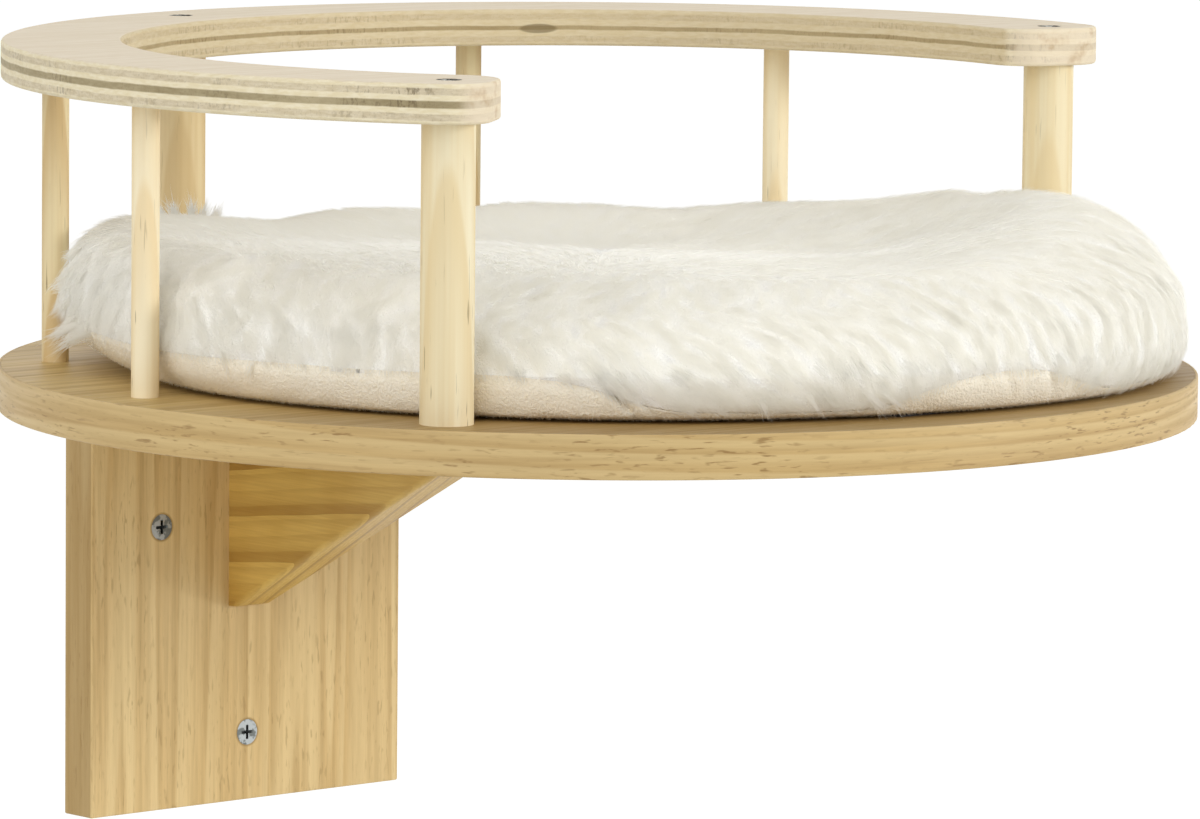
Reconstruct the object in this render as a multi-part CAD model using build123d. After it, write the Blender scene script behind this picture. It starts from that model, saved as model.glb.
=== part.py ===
from build123d import *
import math
import os

# A round cat shelf for a wall. A board rests on a wall plate and a bracket, a C-shaped rail stands
# on posts round its rim, and a loose cushion lies inside the rail on two hook-and-loop strips.
# Sizes are in millimetres and angles in degrees. The origin is the centre of the wall plate's back
# face. X runs to the right along the wall, Y points into the wall and Z points up.

# Board, a full disc that touches the wall
board_diameter = 420
board_thickness = 15
board_edging_thickness = 1
board_edge_radius = 0.5

# Wall plate, upright under the board
plate_width = 146
plate_height = 164
plate_thickness = 16
plate_edging_thickness = 2
plate_edge_radius = 0.8

# Bracket, a wedge between the plate's front and the board's underside
bracket_thickness = 18
bracket_length = 171
bracket_height = 91
bracket_nose_height = 3
bracket_edge_radius = 2

# Rail, a flat plywood ring with a mouth at the front, just inside the board's rim
rail_setback = 1
rail_width = 42
rail_thickness = 13.5
rail_corner_radius = 15
rail_edge_radius = 1.2
rail_turn = 11.8
left_overhang_length = 15.5
right_overhang_length = 12.5

# Uprights between the board and the rail, on one circle along the rail's middle
upright_circle_share = 0.452
upright_height = 100
post_diameter = 18
end_post_angle = 111.6
spindle_diameter = 9.5
spindle_socket_depth = 8
inner_spindle_angle = 38.3
outer_spindle_angle = 73.3

# Screws that hold the wooden pieces together
wood_screw_head_diameter = 8.5
wood_screw_shank_diameter = 4
wood_screw_length = 45
plate_screw_spacing = 50
bracket_screw_shares = (0.31, 0.56)
back_screw_shares = (0.22, 0.66)

# Screws that hold the plate to the wall, and the plugs round them, which the plate's back is
# relieved for so that it lies flat
wall_screw_head_diameter = 9.5
wall_screw_shank_diameter = 5
wall_screw_length = 45
wall_screw_spacing = 81.2
wall_screw_upper_setback = 59.3
wall_screw_lower_setback = 25.2
plug_diameter = 8
plug_length = 33
plug_tip_length = 3
plug_slot_width = 0.8
plug_slot_length = 18
plug_relief_depth = 1

# Shares of a screw's own head and shank
head_rim_share = 0.05
cross_length_share = 0.56
cross_width_share = 0.12
cross_depth_share = 0.28
plug_tip_share = 0.6

# Hook strips on the board and loop strips under the cushion
strip_length = 50
strip_width = 20
strip_thickness = 1.2
front_strip_setback = 2.5
back_strip_setback = 32.5
front_strip_offset = 8

# Cushion, a round pad with a lobe that bulges out through the rail's mouth
cushion_height = 38
cushion_crown_height = 4
cushion_roll_radius = 15
cushion_tilt = 1.2
cushion_seam_height = 14
cushion_lobe_depth = 26.5
cushion_lobe_radius = 125
cushion_lobe_angle = -150
cover_thickness = 2
roll_steps = 10
roll_middle_share = 0.46
crown_shares = (0.74, 0.44, 0.16)

# Clearances
glue_gap = 0.1
screw_clearance = 0.05
soft_clearance = 0.3
cushion_side_clearance = 1
overrun = 1
match = 0.01
quarter_turn = 90

# Places that follow from the sizes above
board_radius = board_diameter / 2
board_bottom = plate_height / 2
board_top = board_bottom + board_thickness
plate_front = -plate_thickness
rail_outer_radius = board_radius - rail_setback
rail_inner_radius = rail_outer_radius - rail_width
rail_bottom = board_top + upright_height
rail_top = rail_bottom + rail_thickness
upright_radius = rail_outer_radius - rail_width * upright_circle_share
post_radius = post_diameter / 2
spindle_radius = spindle_diameter / 2
cushion_radius = upright_radius - post_radius - cushion_side_clearance
cushion_bottom = board_top + soft_clearance
cushion_flat_radius = cushion_radius - cushion_roll_radius
post_angles = {
    "post_left": rail_turn + end_post_angle,
    "post_back": rail_turn,
    "post_right": rail_turn - end_post_angle,
}
spindle_angles = {
    "spindle_left_front": rail_turn + outer_spindle_angle,
    "spindle_left_back": rail_turn + inner_spindle_angle,
    "spindle_right_back": rail_turn - inner_spindle_angle,
    "spindle_right_front": rail_turn - outer_spindle_angle,
}

from_base = (Align.CENTER, Align.CENTER, Align.MIN)
from_top = (Align.CENTER, Align.CENTER, Align.MAX)


def around(radius, angle, height):
    """A place on a circle round the board's centre, its angle counted from the wall to the left."""
    turn = math.radians(angle)
    return (-radius * math.sin(turn), radius * math.cos(turn) - board_radius, height)


def rod(radius, bottom, top, x, y):
    """An upright round bar."""
    return Pos(x, y, bottom) * Cylinder(radius, top - bottom, align=from_base)


def turned(points):
    """A solid of revolution round Z from points given as radius and height."""
    return revolve(Plane.XZ * make_face(Polyline(*points, close=True)), axis=Axis.Z)


def joined(pieces):
    """Separate solids kept in one node."""
    return Compound(children=list(pieces))


def write(piece, name):
    export_step(piece, f"parts/{name}.step")


# Screws point down from a head that is flush at the origin


def head_depth(head, shank):
    return head * head_rim_share + (head - shank) / 2


def screw(head, shank, length):
    """A countersunk screw with a cross recess, its thread left as a plain shank."""
    rim = head * head_rim_share
    body = turned(
        [
            (0, 0),
            (head / 2, 0),
            (head / 2, -rim),
            (shank / 2, -head_depth(head, shank)),
            (shank / 2, shank - length),
            (0, -length),
        ]
    )
    depth = head * cross_depth_share
    slot = Box(head * cross_length_share, head * cross_width_share, depth, align=from_top)
    cross = slot + Rot(0, 0, 90) * slot
    funnel = Cone(head * cross_width_share, head * cross_length_share / 2, depth, align=from_top)
    return body - (cross & funnel)


def screw_hole(head, shank, length):
    """The hole that such a screw fills, open above its head."""
    rim = head * head_rim_share
    head_radius = head / 2 + screw_clearance
    shank_radius = shank / 2 + screw_clearance
    return turned(
        [
            (0, overrun),
            (head_radius, overrun),
            (head_radius, -rim),
            (shank_radius, -head_depth(head, shank)),
            (shank_radius, -length - screw_clearance),
            (0, -length - screw_clearance),
        ]
    )


pointing_up = Rot(180, 0, 0)
pointing_to_wall = Rot(90, 0, 0)
pointing_from_wall = Rot(-90, 0, 0)

rail_screw_places = [Pos(*around(upright_radius, angle, rail_top)) for angle in post_angles.values()]
base_screw_places = [
    Pos(*around(upright_radius, angle, board_bottom)) * pointing_up for angle in post_angles.values()
]
board_screw_places = [
    Pos(-plate_screw_spacing / 2, plate_front / 2, board_top),
    Pos(plate_screw_spacing / 2, plate_front / 2, board_top),
]
board_screw_places += [
    Pos(0, plate_front - bracket_length * share, board_top) for share in bracket_screw_shares
]
back_screw_places = [
    Pos(0, 0, board_bottom - bracket_height * share) * pointing_from_wall
    for share in back_screw_shares
]
wall_screw_points = [
    (-wall_screw_spacing / 2, board_bottom - wall_screw_upper_setback),
    (wall_screw_spacing / 2, board_bottom - wall_screw_upper_setback),
    (0, board_bottom - plate_height + wall_screw_lower_setback),
]
wall_screw_places = [Pos(x, plate_front, z) * pointing_to_wall for x, z in wall_screw_points]
plug_places = [Pos(x, 0, z) * pointing_to_wall for x, z in wall_screw_points]

wood_screw = screw(wood_screw_head_diameter, wood_screw_shank_diameter, wood_screw_length)
wood_screw_hole = screw_hole(wood_screw_head_diameter, wood_screw_shank_diameter, wood_screw_length)
wall_screw = screw(wall_screw_head_diameter, wall_screw_shank_diameter, wall_screw_length)
wall_screw_hole = screw_hole(wall_screw_head_diameter, wall_screw_shank_diameter, wall_screw_length)


def drilled(piece, places, hole):
    for place in places:
        piece = piece - place * hole
    return piece


def spindle_sockets():
    """The blind holes for the spindles' ends, in the board and in the rail alike."""
    bottom = board_top - spindle_socket_depth - glue_gap
    top = rail_bottom + spindle_socket_depth + glue_gap
    sockets = []
    for angle in spindle_angles.values():
        x, y, _ = around(upright_radius, angle, 0)
        sockets.append(rod(spindle_radius + glue_gap, bottom, top, x, y))
    return sockets


# Board and its edging


def make_board():
    core_radius = board_radius - board_edging_thickness - glue_gap
    board = rod(core_radius, board_bottom, board_top, 0, -board_radius)
    for socket in spindle_sockets():
        board = board - socket
    board = drilled(board, base_screw_places, wood_screw_hole)
    return drilled(board, board_screw_places, wood_screw_hole)


def make_board_edging():
    disc = rod(board_radius, board_bottom, board_top, 0, -board_radius)
    disc = fillet(disc.edges().filter_by(GeomType.CIRCLE), board_edge_radius)
    core = rod(
        board_radius - board_edging_thickness, board_bottom - overrun, board_top + overrun, 0, -board_radius
    )
    return disc - core


# Wall plate and its edging


def make_plate():
    width = plate_width - 2 * plate_edging_thickness
    height = plate_height - plate_edging_thickness
    align = (Align.CENTER, Align.MAX, Align.MAX)
    plate = Pos(0, 0, board_bottom) * Box(width, plate_thickness, height, align=align)
    plate = drilled(plate, wall_screw_places, wall_screw_hole)
    relief_radius = plug_diameter / 2 + glue_gap
    relief = Cylinder(relief_radius, plug_relief_depth + overrun, align=from_base)
    for place in plug_places:
        plate = plate - place * Pos(0, 0, -overrun) * relief
    plate = drilled(plate, back_screw_places, wood_screw_hole)
    return drilled(plate, board_screw_places, wood_screw_hole)


def make_plate_edging():
    side_align = (Align.MIN, Align.MAX, Align.MAX)
    side = Box(plate_edging_thickness, plate_thickness, plate_height, align=side_align)
    inner_edges = side.faces().sort_by(Axis.X)[-1].edges() + side.faces().sort_by(Axis.Z)[-1].edges()
    outer_edges = [edge for edge in side.edges() if edge not in inner_edges]
    side = fillet(outer_edges, plate_edge_radius)
    left = Pos(-plate_width / 2, 0, board_bottom) * side
    right = mirror(left, about=Plane.YZ)
    lower_align = (Align.CENTER, Align.MAX, Align.MIN)
    lower_width = plate_width - 2 * plate_edging_thickness
    lower = Box(lower_width, plate_thickness, plate_edging_thickness, align=lower_align)
    lower = fillet(lower.faces().sort_by(Axis.Z)[0].edges().filter_by(Axis.X), plate_edge_radius)
    return joined([left, right, Pos(0, 0, board_bottom - plate_height) * lower])


# Bracket


def make_bracket():
    outline = Polyline(
        (plate_front, board_bottom),
        (plate_front - bracket_length, board_bottom),
        (plate_front - bracket_length, board_bottom - bracket_nose_height),
        (plate_front - bracket_nose_height, board_bottom - bracket_height),
        (plate_front, board_bottom - bracket_height),
        close=True,
    )
    bracket = extrude(Plane.YZ * make_face(outline), bracket_thickness / 2, both=True)
    slope_length = math.hypot(bracket_length - bracket_nose_height, bracket_height - bracket_nose_height)
    slope_edges = bracket.edges().filter_by(lambda edge: abs(edge.length - slope_length) < match)
    bracket = fillet(slope_edges, bracket_edge_radius)
    bracket = drilled(bracket, back_screw_places, wood_screw_hole)
    return drilled(bracket, board_screw_places, wood_screw_hole)


# Rail


def make_rail():
    left_end = rail_turn + end_post_angle + math.degrees(left_overhang_length / upright_radius)
    right_end = rail_turn - end_post_angle - math.degrees(right_overhang_length / upright_radius)
    sweep = left_end - right_end
    outer = CenterArc((0, -board_radius), rail_outer_radius, right_end + quarter_turn, sweep)
    inner = CenterArc((0, -board_radius), rail_inner_radius, right_end + quarter_turn, sweep)
    ends = [Line(outer @ share, inner @ share) for share in (0, 1)]
    face = make_face([outer, inner] + ends)
    face = fillet(face.vertices(), rail_corner_radius)
    rail = extrude(Pos(0, 0, rail_bottom) * face, rail_thickness)
    flat_faces = rail.faces().filter_by(Axis.Z)
    rail = fillet(flat_faces.edges(), rail_edge_radius)
    for socket in spindle_sockets():
        rail = rail - socket
    return drilled(rail, rail_screw_places, wood_screw_hole)


# Uprights


def make_post(angle):
    x, y, _ = around(upright_radius, angle, 0)
    post = rod(post_radius, board_top, rail_bottom, x, y)
    post = post - Pos(x, y, rail_top) * wood_screw_hole
    return post - Pos(x, y, board_bottom) * pointing_up * wood_screw_hole


def make_spindle(angle):
    x, y, _ = around(upright_radius, angle, 0)
    return rod(spindle_radius, board_top - spindle_socket_depth, rail_bottom + spindle_socket_depth, x, y)


# Wall plugs, each a sleeve with a split tail that its screw spreads in the wall


def make_plug():
    radius = plug_diameter / 2
    plug = turned(
        [
            (0, 0),
            (radius, 0),
            (radius, plug_tip_length - plug_length),
            (radius * plug_tip_share, -plug_length),
            (0, -plug_length),
        ]
    )
    bore_depth = wall_screw_length - plate_thickness + screw_clearance
    bore = Cylinder(wall_screw_shank_diameter / 2 + screw_clearance, bore_depth, align=from_top)
    slot = Box(plug_diameter + overrun, plug_slot_width, plug_slot_length + overrun, align=from_base)
    return plug - bore - Pos(0, 0, -plug_length - overrun) * slot


# Hook and loop strips

strip_places = [
    (cushion_flat_radius - front_strip_setback, 2 * quarter_turn, front_strip_offset),
    (cushion_flat_radius - back_strip_setback, 0, 0),
]


def strip(bottom, thickness, offset_share, growth):
    """Both strips at one level; growth widens them on every side."""
    pieces = []
    for radius, angle, offset in strip_places:
        middle = around(radius + offset * offset_share, angle, bottom)
        size = (strip_length + 2 * growth, strip_width + 2 * growth, thickness)
        pieces.append(Pos(*middle) * Rot(0, 0, angle) * Box(*size, align=from_base))
    return pieces


# Cushion


def cushion_outline(radius, height, tilt):
    """One level of the cushion: a circle and its lobe, joined by lines that touch both."""
    scale = radius / cushion_radius
    lobe_radius = cushion_lobe_radius * scale
    lobe_distance = (cushion_radius + cushion_lobe_depth - cushion_lobe_radius) * scale
    touch = math.acos((radius - lobe_radius) / lobe_distance)
    across = math.cos(touch)
    along = math.sin(touch)
    upper = (radius * across, radius * along)
    lower = (radius * across, -radius * along)
    lobe_upper = (lobe_distance + lobe_radius * across, lobe_radius * along)
    lobe_lower = (lobe_distance + lobe_radius * across, -lobe_radius * along)
    half = (math.pi + touch) / 2
    side_point = (radius * math.cos(half), radius * math.sin(half))
    other_side_point = (side_point[0], -side_point[1])
    edges = [
        ThreePointArc(lobe_lower, (lobe_distance + lobe_radius, 0), lobe_upper),
        Line(lobe_upper, upper),
        ThreePointArc(upper, side_point, (-radius, 0)),
        ThreePointArc((-radius, 0), other_side_point, lower),
        Line(lower, lobe_lower),
    ]
    place = Pos(0, -board_radius, height) * Rot(0, -tilt, 0) * Rot(0, 0, quarter_turn + cushion_lobe_angle)
    return place * make_face(edges)


def cushion_form(inset):
    """The whole pad, or with an inset the space inside its cover."""
    radius = cushion_radius - inset
    bottom = cushion_bottom + inset
    top = board_top + cushion_height - inset
    middle = bottom + (top - bottom) * roll_middle_share
    levels = []
    for step in range(roll_steps + 1):
        turn = math.radians(180 * step / roll_steps - 90)
        reach = radius - cushion_roll_radius * (1 - math.cos(turn))
        half_height = top - middle if turn > 0 else middle - bottom
        height = middle + half_height * math.sin(turn)
        levels.append((reach, height, cushion_tilt * max(0, math.sin(turn))))
    rim = radius - cushion_roll_radius
    for share in crown_shares:
        height = top + cushion_crown_height * (1 - share**2)
        levels.append((rim * share, height, cushion_tilt))
    return loft([cushion_outline(*level) for level in levels], ruled=True)


def make_cushion():
    form = cushion_form(0)
    cavity = cushion_form(cover_thickness)
    filling = cushion_form(cover_thickness + soft_clearance)
    stack = 2 * strip_thickness
    patch_top = stack + cover_thickness
    patch_height = patch_top - soft_clearance
    patch_growth = cover_thickness + soft_clearance
    for patch in strip(cushion_bottom, patch_height, 0, patch_growth):
        cavity = cavity - patch
    for patch in strip(cushion_bottom, patch_height + soft_clearance, 0, patch_growth + soft_clearance):
        filling = filling - patch
    cover = form - cavity
    for pocket in strip(board_top, stack, 0, soft_clearance):
        cover = cover - pocket
    for pocket in strip(board_top, stack, 1, soft_clearance):
        cover = cover - pocket
    seam = Plane.XY.offset(board_top + cushion_seam_height)
    top = split(cover, bisect_by=seam, keep=Keep.TOP)
    base = split(cover, bisect_by=seam, keep=Keep.BOTTOM)
    return top, base, filling


os.makedirs("parts", exist_ok=True)
write(make_board(), "shelf_board")
write(make_board_edging(), "board_edging")
write(make_plate(), "wall_plate")
write(make_plate_edging(), "plate_edging")
write(make_bracket(), "bracket")
write(make_rail(), "rail")
for name, angle in post_angles.items():
    write(make_post(angle), name)
for name, angle in spindle_angles.items():
    write(make_spindle(angle), name)
write(joined(place * wood_screw for place in rail_screw_places), "rail_screws")
write(joined(place * wood_screw for place in base_screw_places), "post_base_screws")
write(joined(place * wood_screw for place in board_screw_places), "board_screws")
write(joined(place * wood_screw for place in back_screw_places), "bracket_screws")
write(joined(place * wall_screw for place in wall_screw_places), "wall_screws")
plug = make_plug()
write(joined(place * plug for place in plug_places), "wall_plugs")
write(joined(strip(board_top, strip_thickness, 1, 0)), "hook_strips")
write(joined(strip(board_top + strip_thickness, strip_thickness, 0, 0)), "loop_strips")
cushion_top, cushion_base, cushion_filling = make_cushion()
write(cushion_top, "cushion_top")
write(cushion_base, "cushion_base")
write(cushion_filling, "cushion_filling")
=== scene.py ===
import math

import bmesh
import bpy
import numpy as np
from mathutils import Matrix, Vector
from mathutils.bvhtree import BVHTree


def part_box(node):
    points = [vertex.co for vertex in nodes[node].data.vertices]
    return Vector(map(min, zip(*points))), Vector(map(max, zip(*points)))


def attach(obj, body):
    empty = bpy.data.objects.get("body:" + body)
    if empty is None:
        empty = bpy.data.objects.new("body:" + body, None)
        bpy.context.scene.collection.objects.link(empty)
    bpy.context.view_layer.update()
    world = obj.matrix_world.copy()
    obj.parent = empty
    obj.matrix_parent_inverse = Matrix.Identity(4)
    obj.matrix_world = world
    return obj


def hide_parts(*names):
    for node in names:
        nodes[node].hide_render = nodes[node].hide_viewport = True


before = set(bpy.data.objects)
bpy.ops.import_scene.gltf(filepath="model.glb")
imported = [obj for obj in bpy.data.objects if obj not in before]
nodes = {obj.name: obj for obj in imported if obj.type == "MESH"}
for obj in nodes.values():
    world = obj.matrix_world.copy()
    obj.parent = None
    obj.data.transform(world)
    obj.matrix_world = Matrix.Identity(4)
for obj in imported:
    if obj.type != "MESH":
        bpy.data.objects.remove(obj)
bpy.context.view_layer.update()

# The view: the shelf is seen from left of its front and a little above it, by a camera with
# a long lens, three metres away. The image is 1200 by 819.
camera_place = (-1.94036, -2.40605, 0.418155)
camera_turn = math.radians(41.48)  # to the right of straight at the wall
camera_dip = math.radians(-6.56)
camera_roll = math.radians(0.54)
camera_lens = 252.24  # millimetres
camera_sensor = 36  # millimetres wide

camera = bpy.data.objects.new("camera", bpy.data.cameras.new("camera"))
bpy.context.scene.collection.objects.link(camera)
camera.data.sensor_width = camera_sensor
camera.data.lens = camera_lens
camera.matrix_world = (
    Matrix.Translation(camera_place)
    @ Matrix.Rotation(-camera_turn, 4, "Z")
    @ Matrix.Rotation(math.pi / 2 + camera_dip, 4, "X")
    @ Matrix.Rotation(camera_roll, 4, "Z")
)
bpy.context.scene.camera = camera
bpy.context.scene.view_settings.view_transform = "Standard"


# The studio: soft white light from all round, a small lamp low in front of the shelf and to
# its right, a large one above its left end, and a white floor well under it, as on a wall.
class Shade:
    """One output of a shader node. Sums on it add the Math nodes that work them out."""

    def __init__(self, tree, socket=None):
        self.tree = tree
        self.socket = socket

    def node(self, kind, settings, sockets, out=0):
        """Adds a node of that type, with its settings set first and then its sockets."""
        made = self.tree.nodes.new("ShaderNode" + kind)
        for name, value in settings.items():
            setattr(made, name, value)
        for name, value in sockets.items():
            if isinstance(value, Shade):
                self.tree.links.new(value.socket, made.inputs[name])
            else:
                made.inputs[name].default_value = value
        return Shade(self.tree, made.outputs[out] if made.outputs else None)

    def other(self, out):
        """Another output of the same node."""
        return Shade(self.tree, self.socket.node.outputs[out])

    def maths(self, operation, *values):
        return self.node("Math", {"operation": operation}, dict(enumerate(values)))

    def __add__(self, other):
        return self.maths("ADD", self, other)

    __radd__ = __add__

    def __sub__(self, other):
        return self.maths("SUBTRACT", self, other)

    def __rsub__(self, other):
        return self.maths("SUBTRACT", other, self)

    def __mul__(self, other):
        return self.maths("MULTIPLY", self, other)

    __rmul__ = __mul__

    def __truediv__(self, other):
        return self.maths("DIVIDE", self, other)

    def rise(self, low, high):
        """0 below low and 1 above high, smooth between them."""
        settings = {"interpolation_type": "SMOOTHSTEP"}
        return self.node("MapRange", settings, {0: self, 1: low, 2: high})

    def blend(self, first, second):
        """The first colour where this value is 0 and the second where it is 1."""
        return self.node("Mix", {"data_type": "RGBA"}, {0: self, 6: first, 7: second}, 2)


def colour(red, green, blue):
    """A colour as it looks on a screen, 0 to 255, given as the light that a shader takes."""
    shares = (c / 255 for c in (red, green, blue))
    return (*(s / 12.92 if s < 0.04045 else ((s + 0.055) / 1.055) ** 2.4 for s in shares), 1)


world_light = 0.57
world = bpy.data.worlds.new("studio")
bpy.context.scene.world = world
world.use_nodes = True
world.node_tree.nodes.clear()
sky = Shade(world.node_tree)
camera_ray = sky.node("LightPath", {}, {}, "Is Camera Ray")
mirrored = camera_ray.maths(
    "MAXIMUM", camera_ray.other("Is Glossy Ray"), camera_ray.other("Is Transmission Ray")
)
seen = camera_ray.maths("MAXIMUM", camera_ray, mirrored)
backdrop = sky.node(
    "Background",
    {},
    {"Color": colour(255, 255, 255), "Strength": world_light + (1 - world_light) * seen},
)
sky.node("OutputWorld", {}, {"Surface": backdrop})

lamp_aim = Vector((0, -0.1, 0.05))
lamp_distance = 3.0


def lamp(name, way, side, level):
    """A square lamp, side wide, on that side of the shelf. Level is the share of full light
    that it gives to what faces it."""
    made = bpy.data.objects.new(name, bpy.data.lights.new(name, "AREA"))
    bpy.context.scene.collection.objects.link(made)
    way = Vector(way).normalized()
    made.data.size = side
    made.data.energy = level * math.pi**2 * lamp_distance**2
    made.location = lamp_aim + way * lamp_distance
    made.rotation_mode = "QUATERNION"
    made.rotation_quaternion = way.to_track_quat("Z", "Y")


lamp("front_lamp", (0.55, -0.79, 0.26), 0.65, 0.385)
lamp("left_lamp", (-0.85, -0.3, 0.5), 3.0, 0.42)


def new_piece(name, vertices, faces):
    """A mesh object of those points, in the row frame."""
    mesh = bpy.data.meshes.new(name)
    mesh.from_pydata([tuple(v) for v in vertices], [], faces)
    piece = bpy.data.objects.new(name, mesh)
    bpy.context.scene.collection.objects.link(piece)
    return piece


def finish(name):
    """A new empty material, and a Shade to build its nodes on."""
    made = bpy.data.materials.new(name)
    made.use_nodes = True
    made.node_tree.nodes.clear()
    return made, Shade(made.node_tree)


def coat(start, sockets, through=0.0, glow=(1, 1, 1, 1)):
    """Ends a material in a Principled BSDF with these values. Through is the share of the
    light that a thin fibre lets through, in the colour glow."""
    shader = start.node("BsdfPrincipled", {}, sockets)
    if through:
        lit = start.node("BsdfTranslucent", {}, {"Color": glow})
        shader = start.node("MixShader", {}, {0: through, 1: shader, 2: lit})
    start.node("OutputMaterial", {}, {"Surface": shader})


floor_depth = -0.62
floor_half = 16
floor_corners = [
    (x * floor_half, y * floor_half, floor_depth) for x, y in ((-1, -1), (1, -1), (1, 1), (-1, 1))
]
floor = new_piece("floor", floor_corners, [(0, 1, 2, 3)])
floor_finish, start = finish("floor_white")
straight = start.node("LightPath", {}, {}, "Is Camera Ray")
reflected = start.maths("MAXIMUM", straight, straight.other("Is Glossy Ray"))
dust = start.node("TexNoise", {}, {"Scale": 0.6, "Detail": 2}, "Fac")
coat(
    start,
    {
        "Base Color": dust.blend(colour(222, 222, 220), colour(230, 230, 229)),
        "Roughness": 0.9,
        "Specular IOR Level": 0.0,
        "Emission Color": reflected.blend(colour(0, 0, 0), colour(255, 255, 255)),
        "Emission Strength": 0.6,
    },
)
floor.data.materials.append(floor_finish)


# The wall plate: a particle board with an oak print on its faces, its grain upright, and a
# rounded plastic edging of the same print. It is screwed to the wall.
def dress(names, material):
    """Gives CAD nodes that material in all their slots."""
    for name in names:
        for slot in nodes[name].material_slots:
            slot.material = material


def stretched(start, place, shares):
    """The place with each axis times its share, so that a pattern on it is drawn out."""
    return start.node("VectorMath", {"operation": "MULTIPLY"}, {0: place, 1: shares})


def noise_on(place, scale, detail=2.0, roughness=0.5, distortion=0.0):
    """Cloudy values from 0 to 1 on that place, in cycles for each metre."""
    sockets = {"Vector": place, "Scale": scale, "Detail": detail, "Roughness": roughness}
    return place.node("TexNoise", {}, sockets | {"Distortion": distortion}, "Fac")


def relief_of(height, strength, distance):
    """The normal of a surface that rises by that distance times the height."""
    sockets = {"Height": height, "Strength": strength, "Distance": distance}
    return height.node("Bump", {}, sockets, "Normal")


def oak_print(name, place_of, pale, mid, dark, dashes, shaded=None, depth=0.6):
    """Printed oak foil. place_of gives the place with its third axis along the grain, dashes is
    how strong the short pores are, and shaded gives where shade is painted into the print,
    darkening it by the share depth."""
    made, start = finish(name)
    place = place_of(start)
    figure = noise_on(stretched(start, place, (1, 1, 0.035)), 34, 1.2, 0.5, 0.2)
    ring = start.maths("FRACT", figure * 8)
    late = ring.rise(0.1, 0.84) * (1 - ring.rise(0.86, 1.0))
    clouds = noise_on(stretched(start, place, (1, 1, 0.12)), 26, 2).rise(0.32, 0.68)
    streaks = noise_on(stretched(start, place, (1, 1, 0.03)), 420, 3, 0.6).rise(0.34, 0.68)
    fine = noise_on(stretched(start, place, (1, 1, 0.045)), 1700, 2, 0.6).rise(0.3, 0.7)
    pores = noise_on(stretched(start, place, (1, 1, 0.17)), 820, 2, 0.5, 0.3).rise(0.56, 0.7)
    crowding = noise_on(stretched(start, place, (1, 1, 0.4)), 70, 2).rise(0.4, 0.6)
    pores = pores * (0.25 + 0.75 * crowding)
    ground = (0.55 * late + 0.35 * clouds).blend(pale, mid)
    figured = (0.15 * streaks + 0.2 * late * streaks).blend(ground, dark)
    veined = (0.07 * fine).blend(figured, dark)
    base = (dashes * pores).blend(veined, dark)
    if shaded:
        base = (depth * shaded(start)).blend(base, dark)
    coat(
        start,
        {
            "Base Color": base,
            "Roughness": 0.42 + 0.12 * streaks,
            "Specular IOR Level": 0.45,
            "Normal": relief_of(0.4 * fine - 0.6 * pores, 0.22, 0.00015),
        },
    )
    return made


def own_place(start):
    """The place on the object, in metres in the row frame."""
    return start.node("TexCoord", {}, {}, "Object")


def parts(vector):
    """A vector's X, with Y and Z to be had as other outputs."""
    return vector.node("SeparateXYZ", {}, {"Vector": vector}, "X")


def own_axes(start):
    """The parts of the place on the object."""
    return parts(own_place(start))


plate_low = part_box("wall_plate")[0]


def edging_side_shade(start):
    """0 on the plate's front and 1 from half a millimetre behind it, where the edging's sides get
    painted shade.
    """
    return (own_axes(start).other("Y") - plate_low.y).rise(0.0003, 0.0008)


screws_low, screws_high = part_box("wall_screws")
screw_head = 0.00475  # half the width of a head
screw_hole = screw_head + 0.0001
press_width = 0.001
wall_screw_spots = [(screws_low.x + screw_head, screws_high.z - screw_head)]
wall_screw_spots += [(screws_high.x - screw_head, screws_high.z - screw_head)]
wall_screw_spots += [(0.0, screws_low.z + screw_head)]


def pressed_ring_shade(start):
    """1 in a thin ring round each wall screw, where its head has pressed the foil in and shade is
    painted round the head.
    """
    axes = own_axes(start)
    total = 0.0
    for x, z in wall_screw_spots:
        across, up = axes - x, axes.other("Z") - z
        far = start.maths("SQRT", across * across + up * up)
        total = total + (1 - far.rise(screw_hole, screw_hole + press_width))
    return total


plate_shades = [colour(237, 210, 152), colour(214, 180, 117), colour(150, 116, 57)]
plate_dashes = 0.4
plate_look = [own_place, *plate_shades, plate_dashes]
# The plate's print is painted darker in a thin ring round each wall screw, as painted shade.
dress(["wall_plate"], oak_print("oak_print_upright", *plate_look, pressed_ring_shade, 0.75))
# The edging's sides behind the front are painted darker, as painted shade.
dress(["plate_edging"], oak_print("oak_print_side", *plate_look, edging_side_shade, 0.6))


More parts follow.
